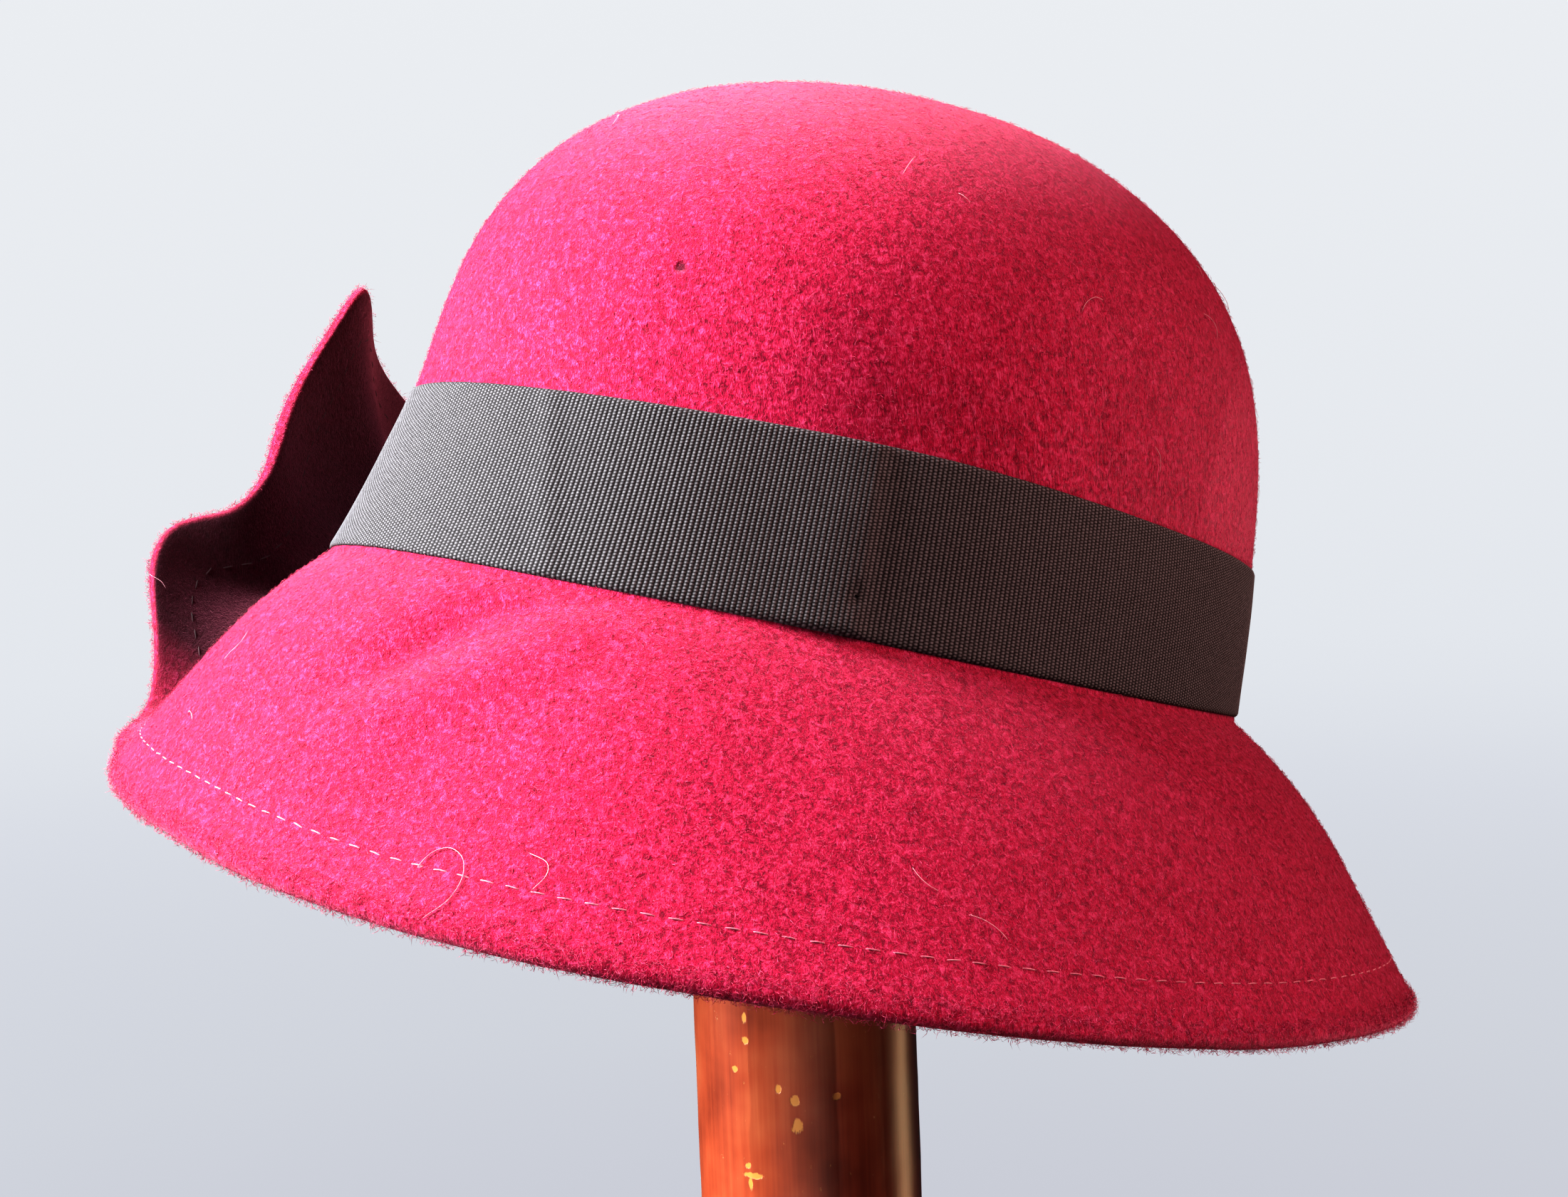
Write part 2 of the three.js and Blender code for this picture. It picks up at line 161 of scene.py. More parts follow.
def stained_beech(name, radius, chips):
    """Beech, turned, stained red and varnished: a soft gloss over fine upright grain, with
    pale bare wood at each chip (azimuth, height, width, tall) and in scattered specks."""
    material, tree, shader = blank_material(
        name, {"Roughness": 0.3, "Coat Weight": 0.7, "Coat Roughness": 0.3}
    )
    place = add(tree, "TexCoord").outputs["Object"]
    along = add(tree, "Mapping", {"Scale": (1, 1, GRAIN_ACROSS / GRAIN_ALONG)}, {"Vector": place})
    grain = add(
        tree, "TexNoise", {"Scale": 1 / GRAIN_ACROSS, "Detail": 4, "Roughness": 0.6},
        {"Vector": along.outputs["Vector"]},
    ).outputs["Fac"]
    cloud = add(
        tree, "TexNoise", {"Scale": 1 / STAIN_CLOUD, "Detail": 3}, {"Vector": place}
    ).outputs["Fac"]
    streaks = add(tree, "Math", {1: GRAIN_SHARE}, {0: grain}, operation="MULTIPLY").outputs[0]
    tone = add(tree, "Math", {}, {0: streaks, 1: cloud}, operation="ADD").outputs[0]
    wood = ramp(tree, tone, [(0.45, STAIN_DARK), (0.68, STAIN_MID), (0.92, STAIN_WARM)])
    squashed = add(tree, "Mapping", {"Scale": (1, 1, SCUFF_SQUASH)}, {"Vector": place})
    ragged = add(
        tree, "TexNoise", {"Scale": 1 / SCUFF_SIZE, "Detail": 5, "Roughness": 0.75},
        {"Vector": squashed.outputs["Vector"]},
    ).outputs["Fac"]
    nearest = None
    for azimuth, height, width, tall in chips:
        a = math.radians(azimuth)
        spot = (radius * math.cos(a), radius * math.sin(a), height * MM)
        off = add(tree, "VectorMath", {1: spot}, {0: place}, operation="SUBTRACT").outputs[0]
        share = (2 / (width * MM), 2 / (width * MM), 2 / (tall * MM))
        off = add(tree, "VectorMath", {1: share}, {0: off}, operation="MULTIPLY").outputs[0]
        off = add(tree, "VectorMath", {}, {0: off}, operation="LENGTH").outputs["Value"]
        if nearest is None:
            nearest = off
        else:
            nearest = add(
                tree, "Math", {}, {0: nearest, 1: off}, operation="MINIMUM"
            ).outputs[0]
    edge = add(
        tree, "Math", {1: CHIP_RAGGED}, {0: ragged, 2: nearest}, operation="MULTIPLY_ADD"
    ).outputs[0]
    chip = add(
        tree, "MapRange", {"From Min": CHIP_OUTSIDE, "From Max": CHIP_INSIDE}, {"Value": edge}
    ).outputs["Result"]
    specks = add(
        tree, "MapRange", {"From Min": SPECK_FROM, "From Max": SPECK_FULL}, {"Value": ragged}
    ).outputs["Result"]
    bare = add(tree, "Math", {}, {0: chip, 1: specks}, operation="MAXIMUM").outputs[0]
    colour = add(tree, "MixRGB", {"Color2": linear(BARE_WOOD)}, {"Fac": bare, "Color1": wood})
    tree.links.new(colour.outputs["Color"], shader.inputs["Base Color"])
    rough = add(
        tree, "MapRange", {"To Min": VARNISH_SMOOTH, "To Max": VARNISH_WORN}, {"Value": cloud}
    ).outputs["Result"]
    tree.links.new(rough, shader.inputs["Roughness"])
    sunk = add(tree, "Math", {1: -1.0}, {0: bare}, operation="MULTIPLY").outputs[0]
    relief = add(tree, "Math", {1: GRAIN_RELIEF}, {0: grain}, operation="MULTIPLY").outputs[0]
    height = add(tree, "Math", {}, {0: sunk, 1: relief}, operation="ADD").outputs[0]
    bump = add(tree, "Bump", {"Strength": 0.5, "Distance": CHIP_DEPTH}, {"Height": height})
    tree.links.new(bump.outputs["Normal"], shader.inputs["Normal"])
    return material


low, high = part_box("stand_base")
base_radius = high.x
post_low, post_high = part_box("stand_post")
post_radius = post_high.x
bpy.ops.object.select_all(action="DESELECT")
bpy.ops.mesh.primitive_cylinder_add(
    vertices=BASE_SIDES, radius=base_radius, depth=high.z, location=(0, 0, high.z / 2)
)
base = bpy.context.active_object
base.name = base.data.name = "turned_base"
settle(base)
bpy.ops.object.mode_set(mode="EDIT")
pick_faces(base, lambda centre, normal: normal.z > 0.9)
bpy.ops.mesh.inset(thickness=base_radius - post_radius - COVE_INSET)
bpy.ops.mesh.inset(thickness=COVE_WIDTH / 2)
bpy.ops.transform.translate(value=(0, 0, -COVE_DEPTH))
bpy.ops.mesh.inset(thickness=COVE_WIDTH / 2)
bpy.ops.transform.translate(value=(0, 0, COVE_DEPTH))
bpy.ops.mesh.inset(thickness=COVE_INSET - COVE_WIDTH - SOCKET_GAP)
bpy.ops.mesh.extrude_region_move(TRANSFORM_OT_translate={"value": (0, 0, post_low.z - high.z)})
pick_edges(
    base,
    lambda a, b: min(a.z, b.z) > high.z - LEVEL_SLACK
    and min(a.xy.length, b.xy.length) > base_radius - ROUND_SLACK,
)
bpy.ops.mesh.bevel(offset=EDGE_ROUND, segments=6, affect="EDGES")
pick_edges(
    base,
    lambda a, b: max(a.z, b.z) < LEVEL_SLACK
    and min(a.xy.length, b.xy.length) > base_radius - ROUND_SLACK,
)
bpy.ops.mesh.bevel(offset=FOOT_CHAMFER, segments=2, affect="EDGES")
bpy.ops.object.mode_set(mode="OBJECT")
bpy.ops.object.shade_smooth_by_angle(angle=math.radians(35))
base.data.materials.append(stained_beech("varnished_beech_base", base_radius, BASE_CHIPS))
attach(base, "root")
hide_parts("stand_base")

# ---- Stand post -------------------------------------------------------------------
# A thick turned beech dowel with a domed top, glued into the base. Years of hats and
# knocks have left soft dents and chips where the varnish shows bare wood.

POST_SIDES = 96
POST_BANDS = 150
DENT_DEPTH = 0.35 * MM
DENT_SIZE = 14 * MM
DOME_RINGS = 6
DOME_RADIUS = 46 * MM
DOME_POWER = 1.5
DOME_DROP = 0.2 * MM
SHOULDER_DROP = 2.6 * MM
DENT_LEVEL = 0.75
# azimuth in degrees, then height up the post, width and tallness in mm
POST_CHIPS = [
    (284, 131, 1.2, 2.4), (284, 126, 1.8, 1.8), (277, 119.5, 1.6, 1.4), (301, 116, 1.6, 2.3),
    (309, 113.5, 2.1, 2.4), (310, 108, 2.6, 3.2), (330, 114, 2.0, 1.8), (283, 98.5, 1.6, 1.6),
    (286, 96.5, 5.5, 1.5), (284, 94.5, 1.2, 3.5), (318, 84, 1.8, 3.0), (297, 70, 2.4, 1.6),
    (200, 120, 2.0, 2.6), (150, 92, 1.6, 2.2), (60, 108, 2.2, 2.0), (20, 75, 1.8, 3.0),
]

bpy.ops.object.select_all(action="DESELECT")
dome_height = DOME_RADIUS - math.sqrt(DOME_RADIUS**2 - post_radius**2)
shoulder = post_high.z - dome_height - SHOULDER_DROP
bpy.ops.mesh.primitive_cylinder_add(
    vertices=POST_SIDES,
    radius=post_radius,
    depth=shoulder - post_low.z,
    location=(0, 0, (shoulder + post_low.z) / 2),
)
post = bpy.context.active_object
post.name = post.data.name = "turned_post"
settle(post)
bpy.ops.object.mode_set(mode="EDIT")
pick_faces(post, lambda centre, normal: normal.z > 0.9)
reach, level = post_radius, shoulder
for ring in range(1, DOME_RINGS + 1):
    next_reach = post_radius * (1 - (ring / (DOME_RINGS + 1)) ** DOME_POWER)
    drop = DOME_RADIUS - math.sqrt(DOME_RADIUS**2 - next_reach**2)
    next_level = post_high.z - DOME_DROP - drop
    bpy.ops.mesh.inset(thickness=reach - next_reach)
    bpy.ops.transform.translate(value=(0, 0, next_level - level))
    reach, level = next_reach, next_level
bpy.ops.mesh.poke()
pick_edges(post, lambda a, b: abs(a.z - b.z) > (shoulder - post_low.z) / 2)
bpy.ops.mesh.subdivide(number_cuts=POST_BANDS)
bpy.ops.object.mode_set(mode="OBJECT")
dents = bpy.data.textures.new("knocks", "CLOUDS")
dents.noise_scale = DENT_SIZE
worn = post.modifiers.new("knocks", "DISPLACE")
worn.texture = dents
worn.texture_coords = "GLOBAL"
worn.mid_level = DENT_LEVEL
worn.strength = DENT_DEPTH
pick_only(post)
bpy.ops.object.modifier_apply(modifier=worn.name)
bpy.ops.object.shade_smooth_by_angle(angle=math.radians(50))
post.data.materials.append(stained_beech("varnished_beech_post", post_radius, POST_CHIPS))
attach(post, "root")
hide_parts("stand_post")

# ---- Felt crown and brim ----------------------------------------------------------
# One hood of raspberry wool felt, steamed and pulled over a block. Its own stiffness
# holds the brim, which is swept up on the wearer's right. The edge is turned under.

WELD = 2e-6
FELT_LEVELS = 2
HAND_WAVE = 28 * MM
HAND_WAVE_DEPTH = 0.5 * MM
HAT_LEAN = math.radians(14.65)
HAT_LEAN_TOWARDS = math.radians(60.5)
HAT_SEAT = Vector((-3.35, 4.94, 212.0)) * MM
FELT_DEEP = "#80042C"
FELT_MID = "#CC124C"
FELT_LIGHT = "#F0528E"
FELT_SHEEN = "#FF98B6"
NIP_PIT_SHADE = "#5A0A24"
NIP_SUNK = -2.0
NAP_FROM, NAP_FULL = 0.42, 0.78
LUMPS_FROM, LUMPS_FULL = 0.3, 0.7
NAP_IN_PILE, LUMPS_IN_PILE = 0.5, 0.5
# painted shade: how nearly black the colour turns to bounced light, and how dark it is painted in
# the fold beside the ribbon
BOUNCE_LOST = 0.92
FOLD_SHADE = 0.96
# painted shade in the fold beside the ribbon: azimuths and rows of the shell, with the share of
# painted shade
FOLD_ROUND = ([170, 184, 222, 228], [0, 1, 1, 0])
FOLD_ACROSS = ([15, 16.5, 22.3, 23.2], [0, 1, 1, 0])
# the two waves pressed into the front of the brim: azimuth and half width in degrees, depth
VALLEY_AT, VALLEY_WIDE, VALLEY_DEEP = 280.5, 4.0, 2.6 * MM
RIDGE_AT, RIDGE_WIDE, RIDGE_TALL = 289.5, 4.5, 1.3 * MM
PRESSED_HEIGHT, PRESSED_REACH = -17 * MM, 12 * MM
PRESSED_SKEW = 0.5 / MM
BRIM_ROW = 14.5
RIM_ROW = 24.5
CLUMP = 1.3 * MM
# wool fibres are about 0.02 mm thick: drawn 0.3 mm wide, about as fine as shows
FIBRE_WIDTH = 0.3 * MM
FIBRE_LENGTH = 2.2 * MM
NIP_AZIMUTH = math.radians(293.2)
NIP_REACH, NIP_HEIGHT, NIP_SIZE = 92.9 * MM, 60.8 * MM, 1.5 * MM
lean = Matrix.Rotation(
    HAT_LEAN, 3, Vector((-math.sin(HAT_LEAN_TOWARDS), math.cos(HAT_LEAN_TOWARDS), 0))
)


def to_hat(points):
    """Row-frame points in the upright hat's own frame, as an array."""
    return (np.asarray(points, float) - np.array(HAT_SEAT)) @ np.array(lean)


def turns(upright):
    """Degrees round the hat from the wearer's left, of points in its own frame."""
    return np.degrees(np.arctan2(upright[:, 1], upright[:, 0])) % 360


def hat_rows(mesh, tip, turn):
    """The shell's vertices in rings, from the tip over the rim and back up inside."""
    near = [set() for _ in mesh.vertices]
    for edge in mesh.edges:
        a, b = edge.vertices
        near[a].add(b)
        near[b].add(a)
    rows, seen, ring = [[tip]], {tip}, set(near[tip])
    first = min(ring)
    second = sorted(near[first] & ring)[turn]
    while True:
        walk = [first, second]
        while len(walk) < len(ring):
            walk.append(((near[walk[-1]] & ring) - set(walk)).pop())
        rows.append(walk)
        seen |= ring
        ring = set().union(*(near[v] for v in walk)) - seen
        if len(ring) == 1:
            return rows + [[ring.pop()]]
        onward = near[walk[0]] & ring
        first = next(v for v in onward if walk[1] not in near[v])
        second = next(v for v in onward if v != first)


def drift(mesh, rows):
    """How long the line of first stations is: least where the rings keep in step."""
    line = [mesh.vertices[row[0]].co for row in rows]
    return sum((b - a).length for a, b in zip(line, line[1:]))


def with_painted_shade(tree, colour):
    """The colour with painted shade: nearly black to bounced light, so that shadows stay deep, and
    darkened by the fold mark as painted shade of a deep fold.
    """
    bounced = add(tree, "LightPath").outputs["Is Diffuse Ray"]
    share = add(tree, "Math", {1: BOUNCE_LOST}, {0: bounced}, operation="MULTIPLY").outputs[0]
    fold = add(tree, "Attribute", attribute_name="fold").outputs["Fac"]
    share = add(tree, "Math", {}, {0: share, 1: fold}, operation="MAXIMUM").outputs[0]
    dark = add(tree, "MixRGB", {"Color2": (0, 0, 0, 1)}, {"Fac": share, "Color1": colour})
    return dark.outputs["Color"]


def raspberry_felt(name):
    """Milled and dyed wool felt: matt, clouded in small clumps, with a pale nap that lights
    up at grazing angles, and one moth nip, a small pit sunk by the bump whose dark colour is
    painted shade. Painted shade also darkens the colour in the fold and to bounced light."""
    material, tree, shader = blank_material(
        name,
        {"Roughness": 0.95, "Specular IOR Level": 0.1, "Sheen Weight": 1.0,
         "Sheen Roughness": 0.45, "Sheen Tint": linear(FELT_SHEEN)},
    )
    place = add(tree, "TexCoord").outputs["Object"]
    clumps = add(
        tree, "TexNoise",
        {"Scale": 1 / CLUMP, "Detail": 3, "Roughness": 0.65, "Distortion": 0.8},
        {"Vector": place},
    ).outputs["Fac"]
    strands = None
    for turn in ((0, 0, 0), (1.3, 0.4, 0), (0.5, 1.2, 0.8)):
        stretched = add(
            tree, "Mapping",
            {"Rotation": turn, "Scale": (1, 1, FIBRE_WIDTH / FIBRE_LENGTH)},
            {"Vector": place},
        ).outputs["Vector"]
        strand = add(
            tree, "TexNoise",
            {"Scale": 1 / FIBRE_WIDTH, "Detail": 1, "Roughness": 0.5, "Distortion": 1.2},
            {"Vector": stretched},
        ).outputs["Fac"]
        if strands is None:
            strands = strand
        else:
            strands = add(
                tree, "Math", {}, {0: strands, 1: strand}, operation="MAXIMUM"
            ).outputs[0]
    nap = add(
        tree, "MapRange", {"From Min": NAP_FROM, "From Max": NAP_FULL}, {"Value": strands}
    ).outputs["Result"]
    lumps = add(
        tree, "MapRange", {"From Min": LUMPS_FROM, "From Max": LUMPS_FULL}, {"Value": clumps}
    ).outputs["Result"]
    raised = add(tree, "Math", {1: NAP_IN_PILE}, {0: nap}, operation="MULTIPLY").outputs[0]
    pile = add(
        tree, "Math", {1: LUMPS_IN_PILE}, {0: lumps, 2: raised}, operation="MULTIPLY_ADD"
    ).outputs[0]
    colour = ramp(tree, pile, [(0.2, FELT_DEEP), (0.5, FELT_MID), (0.8, FELT_LIGHT)])
    flat = (NIP_REACH * math.cos(NIP_AZIMUTH), NIP_REACH * math.sin(NIP_AZIMUTH), NIP_HEIGHT)
    nip = add(
        tree, "VectorMath", {1: HAT_SEAT + lean @ Vector(flat)}, {0: place}, operation="DISTANCE"
    ).outputs["Value"]
    nip = add(
        tree, "MapRange", {"From Min": NIP_SIZE, "From Max": 0.4 * NIP_SIZE}, {"Value": nip}
    ).outputs["Result"]
    # painted shade: the nip's pit is painted dark, besides being sunk by the bump
    colour = add(
        tree, "MixRGB", {"Color2": linear(NIP_PIT_SHADE)}, {"Fac": nip, "Color1": colour}
    ).outputs["Color"]
    tree.links.new(with_painted_shade(tree, colour), shader.inputs["Base Color"])
    deep = add(
        tree, "Math", {1: NIP_SUNK}, {0: nip, 2: pile}, operation="MULTIPLY_ADD"
    ).outputs[0]
    bump = add(tree, "Bump", {"Strength": 0.75, "Distance": 0.4 * MM}, {"Height": deep})
    tree.links.new(bump.outputs["Normal"], shader.inputs["Normal"])
    return material


merged = bpy.data.objects.new("felt_copy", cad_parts["felt_body"].data.copy())
bpy.context.scene.collection.objects.link(merged)
pick_only(merged)
bpy.ops.object.mode_set(mode="EDIT")
bpy.ops.mesh.select_all(action="SELECT")
bpy.ops.mesh.remove_doubles(threshold=WELD)
bpy.ops.object.mode_set(mode="OBJECT")
places = np.array([v.co for v in merged.data.vertices])
tip = int(np.argmax(to_hat(places)[:, 2]))
rows = min(
    (hat_rows(merged.data, tip, turn) for turn in (0, 1)),
    key=lambda found: drift(merged.data, found),
)
stations = len(rows[1])
points, faces, row_of, starts = [], [], [], []
for number, row in enumerate(rows):
    starts.append(len(points))
    points += [places[v] for v in row]
    row_of += [float(number)] * len(row)
for number in range(len(rows) - 1):
    here, there = starts[number], starts[number + 1]
    for k in range(stations):
        k2 = (k + 1) % stations
        if len(rows[number]) == 1:
            faces.append((here, there + k, there + k2))
        elif len(rows[number + 1]) == 1:
            faces.append((here + k, there, here + k2))
        else:
            faces.append((here + k, there + k, there + k2, here + k2))
rings = [places[row] for row in rows]
bpy.data.objects.remove(merged)
felt_mesh = bpy.data.meshes.new("felt_hat")
felt_mesh.from_pydata(points, [], faces)
row_mark = felt_mesh.attributes.new("row", "FLOAT", "POINT")
row_mark.data.foreach_set("value", row_of)
felt = bpy.data.objects.new("felt_hat", felt_mesh)
bpy.context.scene.collection.objects.link(felt)
pick_only(felt)
bpy.ops.object.mode_set(mode="EDIT")
bpy.ops.mesh.select_all(action="SELECT")
bpy.ops.mesh.normals_make_consistent(inside=False)
bpy.ops.object.mode_set(mode="OBJECT")
finer = felt.modifiers.new("finer", "SUBSURF")
finer.levels = finer.render_levels = FELT_LEVELS
bpy.ops.object.modifier_apply(modifier=finer.name)
waves = bpy.data.textures.new("hand_wave", "CLOUDS")
waves.noise_scale = HAND_WAVE
wave = felt.modifiers.new("hand_wave", "DISPLACE")
wave.texture = waves
wave.texture_coords = "GLOBAL"
wave.direction = "NORMAL"
wave.strength = HAND_WAVE_DEPTH
bpy.ops.object.modifier_apply(modifier=wave.name)
bpy.ops.object.shade_smooth()
felt.data.materials.append(raspberry_felt("raspberry_wool_felt"))
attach(felt, "root")
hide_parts("felt_body")

felt_points = np.array([v.co for v in felt.data.vertices])
felt_rows = np.empty(len(felt_points), np.float32)
felt.data.attributes["row"].data.foreach_get("value", felt_rows)
upright = to_hat(felt_points)
felt_azimuths = turns(upright)
push = np.zeros(len(felt_points))
for azimuth, wide, deep in (
    (VALLEY_AT, VALLEY_WIDE, -VALLEY_DEEP), (RIDGE_AT, RIDGE_WIDE, RIDGE_TALL),
):
    below = upright[:, 2] - PRESSED_HEIGHT
    off = (felt_azimuths - azimuth - PRESSED_SKEW * below) / wide
    push += deep * np.exp(-(off**2) - (below / PRESSED_REACH) ** 2)
push *= np.where(felt_rows < RIM_ROW, 1, -1) * (felt_rows > BRIM_ROW)
felt_points += np.array([v.normal for v in felt.data.vertices]) * push[:, None]
felt.data.vertices.foreach_set("co", felt_points.astype(np.float32).ravel())
felt.data.update()
# painted shade: the share of darkening in the fold beside the ribbon, kept on the felt as the fold
# attribute
round_fold = np.interp(felt_azimuths, *FOLD_ROUND)
across_fold = np.interp(felt_rows, *FOLD_ACROSS)
painted_fold_shade = FOLD_SHADE * round_fold * across_fold
painted_shade_mark = felt.data.attributes.new("fold", "FLOAT", "POINT")
painted_shade_mark.data.foreach_set("value", painted_fold_shade.astype(np.float32))

# ---- Hem stitching ----------------------------------------------------------------
# One row of lockstitch in pale pink cotton, 9.5 mm in from the edge, that holds the
# turned-under hem. Each stitch is a short bowed thread that dives into the felt.

STITCH_PITCH = 4.6 * MM
STITCH_LENGTH = 3.0 * MM
THREAD_RADIUS = 0.13 * MM
STITCH_BOW = 0.3 * MM
STITCH_SINK = 0.06 * MM
STITCH_WANDER = 0.05
HEM_ROW = 20
HEM_DEPTH = 3.9 * MM
THREAD_TWIST = 0.5 * MM
THREAD_PALE = "#EA94AA"
THREAD_DEEP = "#D4708A"
rng = np.random.default_rng(57)


def spline(before, here, after, beyond, steps):
    """Points along the smooth curve from each here to its after, steps to a stretch."""
    t = (np.arange(steps) / steps)[None, :, None]
    p0, p1, p2, p3 = (p[:, None, :] for p in (before, here, after, beyond))
    curve = 2 * p1 + (p2 - p0) * t + (2 * p0 - 5 * p1 + 4 * p2 - p3) * t**2
    curve = (curve + (3 * p1 - p0 - 3 * p2 + p3) * t**3) / 2
    return curve.reshape(-1, 3)


def smooth_loop(through, steps):
    """Points on a closed smooth curve through a ring of points."""
    after, beyond = np.roll(through, -1, 0), np.roll(through, -2, 0)
    return spline(np.roll(through, 1, 0), through, after, beyond, steps)


def evenly(loop, spacing):
    """Points a whole number of equal steps apart round a closed loop."""
    closed = np.vstack([loop, loop[:1]])
    walked = np.concatenate([[0], np.cumsum(np.linalg.norm(np.diff(closed, axis=0), axis=1))])
    count = round(walked[-1] / spacing)
    at = np.arange(count) * walked[-1] / count
    return np.stack([np.interp(at, walked, closed[:, axis]) for axis in range(3)], 1)


def mesh_piece(name, points, faces, material, slot):
    """A piece from points and faces, smooth shaded, riding on the root body."""
    mesh = bpy.data.meshes.new(name)
    mesh.from_pydata([tuple(p) for p in points], [], faces)
    piece = bpy.data.objects.new(name, mesh)
    bpy.context.scene.collection.objects.link(piece)
    pick_only(piece)
    bpy.ops.object.shade_smooth()
    mesh.materials.append(material)
    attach(piece, "root")
    return piece


felt_tree = BVHTree.FromPolygons(
    [v.co for v in felt.data.vertices], [f.vertices[:] for f in felt.data.polygons]
)
bpy.ops.object.select_all(action="DESELECT")
bpy.ops.mesh.primitive_cylinder_add(
    vertices=8, radius=THREAD_RADIUS, depth=STITCH_LENGTH, rotation=(0, math.pi / 2, 0)
)
stitch = bpy.context.active_object
settle(stitch)
bpy.ops.object.mode_set(mode="EDIT")
pick_edges(stitch, lambda a, b: abs(a.x - b.x) > STITCH_LENGTH / 2)
bpy.ops.mesh.subdivide(number_cuts=5)
bpy.ops.object.mode_set(mode="OBJECT")
one_stitch = np.array([v.co for v in stitch.data.vertices])
one_stitch[:, 2] += STITCH_BOW * (0.5 - (2 * one_stitch[:, 0] / STITCH_LENGTH) ** 2)
stitch_faces = [f.vertices[:] for f in stitch.data.polygons]
bpy.data.objects.remove(stitch)
hem_line = evenly(smooth_loop(rings[HEM_ROW], 6), STITCH_PITCH)
points, faces = [], []
for depth in (0, HEM_DEPTH):
    for here, onward in zip(hem_line, np.roll(hem_line, -1, 0)):
        spot, out, _, _ = felt_tree.find_nearest(here)
        if depth:
            spot, out, _, _ = felt_tree.find_nearest(spot - out * depth)
        run = Vector(onward - here)
        run = (run - out * run.dot(out)).normalized()
        run = (run + out.cross(run) * rng.normal(0, STITCH_WANDER)).normalized()
        turned = np.array([run, out.cross(run), out])
        faces += [tuple(len(points) + i for i in face) for face in stitch_faces]
        points += list(one_stitch @ turned + np.array(spot) - np.array(out) * STITCH_SINK)
# mercerised cotton, two plies twisted: fairly matt, with a faint mottle of two pinks
thread, tree, shader = blank_material(
    "pink_cotton_thread", {"Roughness": 0.7, "Sheen Weight": 0.3, "Sheen Roughness": 0.4}
)
place = add(tree, "TexCoord").outputs["Object"]
ply = add(
    tree, "TexNoise", {"Scale": 1 / THREAD_TWIST, "Detail": 2}, {"Vector": place}
).outputs["Fac"]
# painted shade of the fold and of bounced light darkens the thread as it does the felt
tree.links.new(
    with_painted_shade(tree, ramp(tree, ply, [(0.35, THREAD_DEEP), (0.6, THREAD_PALE)])),
    shader.inputs["Base Color"],
)
bump = add(tree, "Bump", {"Strength": 0.4, "Distance": 0.1 * MM}, {"Height": ply})
tree.links.new(bump.outputs["Normal"], shader.inputs["Normal"])
stitching = mesh_piece("hem_stitching", points, faces, thread, "felt")
# painted shade: the stitches on the top side are darkened in the fold beside the ribbon, like the
# felt there
on_top = np.arange(len(points)) < len(points) / 2
shade = FOLD_SHADE * np.interp(turns(to_hat(points)), *FOLD_ROUND) * on_top
shade_mark = stitching.data.attributes.new("fold", "FLOAT", "POINT")
shade_mark.data.foreach_set("value", shade.astype(np.float32))

# ---- Grosgrain ribbon -------------------------------------------------------------
# A 35 mm charcoal grosgrain band pulled tight round the foot of the crown: thick weft
# cords across it, each wrapped by fine warp loops. Its lap shows as a soft ridge that
# is tacked down near the lower edge.

RIB_PITCH = 0.96 * MM
COLUMNS_A_RIB = 4
RIB_HEIGHT = 0.14 * MM
LOOP_PITCH = 0.6 * MM
RIBBON_INSIDE = 0.1 * MM
RIBBON_THICK = 0.5 * MM
RIBBON_WIDTH = 35 * MM
BACK_ROWS = 5
WALL_ROWS = 14.3
CROWN_ROWS = 15.2
CROWN_AXIS = 1.5 * MM
CAST_FROM = 128 * MM
CAST_STEP = 0.3 * MM
# the lap, the crease beside it and the tack: azimuths in degrees, then heights
LAP_AT = 319.2
LAP_LEAN = -0.045
LAP_RISE = 1.1 * MM
LAP_BEFORE, LAP_BEYOND = 11 * MM, 2.2 * MM
CREASE_TOP, CREASE_FOOT = (281.4, 32 * MM), (287.0, 6 * MM)
CREASE_RISE = 0.3 * MM
CREASE_WIDE = 1.6
TACK = (319.1, 8.2 * MM)
TACK_SINK, TACK_REACH = 0.25 * MM, 1.1 * MM
TACK_FROM_AXIS = 99 * MM
FOOT_BELOW, HEAD_ABOVE = 4 * MM, 31 * MM
EDGE_EASE = 0.7 * MM
SMOOTH_OVER = 61
# painted shade in the gaps between cords, the cords' own charcoal, and a painted highlight on their
# crests
CORD_GAP_SHADE = "#181617"
CORD_MID = "#454346"
CORD_CREST_HIGHLIGHT = "#807F84"
CORD_ROUND = 0.8
FACE_ROWS = 16
FLECK_SHARE = 0.8
TONE_SPAN = 0.62
FLECK_SIZE = 0.45 * MM

crown_faces = [
    f.vertices[:] for f in felt.data.polygons if max(felt_rows[v] for v in f.vertices) < WALL_ROWS
]
crown_tree = BVHTree.FromPolygons([v.co for v in felt.data.vertices], crown_faces)


def on_crown(azimuth, height):
    """Where the crown is at an azimuth and height, or just above if it ends there."""
    a = math.radians(azimuth)
    outward = lean @ Vector((math.cos(a), math.sin(a), 0))
    spot = None
    while spot is None:
        axis = HAT_SEAT + lean @ Vector((CROWN_AXIS, CROWN_AXIS, height))
        spot, normal, _, _ = crown_tree.ray_cast(axis + outward * CAST_FROM, -outward)
        height += CAST_STEP
    return spot, normal


